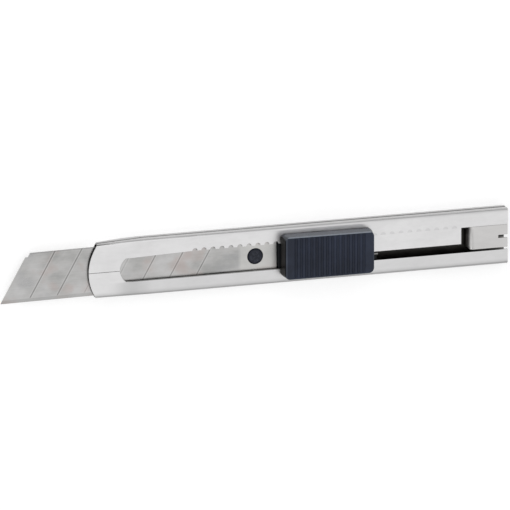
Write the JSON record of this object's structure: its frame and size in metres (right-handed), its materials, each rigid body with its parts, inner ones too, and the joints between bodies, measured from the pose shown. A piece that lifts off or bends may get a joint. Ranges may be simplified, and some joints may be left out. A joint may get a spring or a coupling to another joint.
{
  "type": "utility knife",
  "caption": "Snap-off blade utility knife with a folded steel casing, a ribbed push-lock slider on a blade runner, and a pull-out end clip for snapping segments.",
  "frame": {"origin": "centre of the knife's box at the flat back of the casing that it lies on", "axes": "+X along the knife from the blade's tip to the rear end, +Y towards the spine, +Z out of the face that carries the slider"},
  "size_m": [0.1882, 0.0206, 0.011],
  "materials": {
    "casing_steel": "bright pressed stainless sheet with a fine grain",
    "clip_steel": "satin spring steel",
    "blade_steel": "ground carbon steel with scored segments",
    "lock_steel": "plain spring steel",
    "slider_plastic": "dark navy moulded plastic, semi-gloss",
    "stud_plastic": "dark navy moulded plastic",
    "carrier_plastic": "dark navy moulded plastic, matt"
  },
  "bodies": {
    "casing": {"front_shell": "casing_steel", "back_shell": "casing_steel"},
    "clip": {"end_clip": "clip_steel"},
    "runner": {"blade": "blade_steel", "blade_carrier": "carrier_plastic", "blade_stud": "stud_plastic", "lock_spring": "lock_steel"},
    "thumb_slider": {"slider_button": "slider_plastic", "lock_plate": "lock_steel", "plate_rivets": "lock_steel"}
  },
  "joints": [
    {"name": "blade_slide", "type": "slide", "parent": "casing", "child": "runner", "axis": [1, 0, 0], "range_m": [-0.04667, 0.03333]},
    {"name": "lock_press", "type": "slide", "parent": "runner", "child": "thumb_slider", "axis": [0, 0, -1], "range_m": [0, 0.0006], "stiffness_N_per_m": 4000, "springref_m": -0.0003, "deforming": ["lock_spring"]},
    {"name": "clip_pull", "type": "slide", "parent": "casing", "child": "clip", "axis": [1, 0, 0], "range_m": [0, 0.016]}
  ]
}
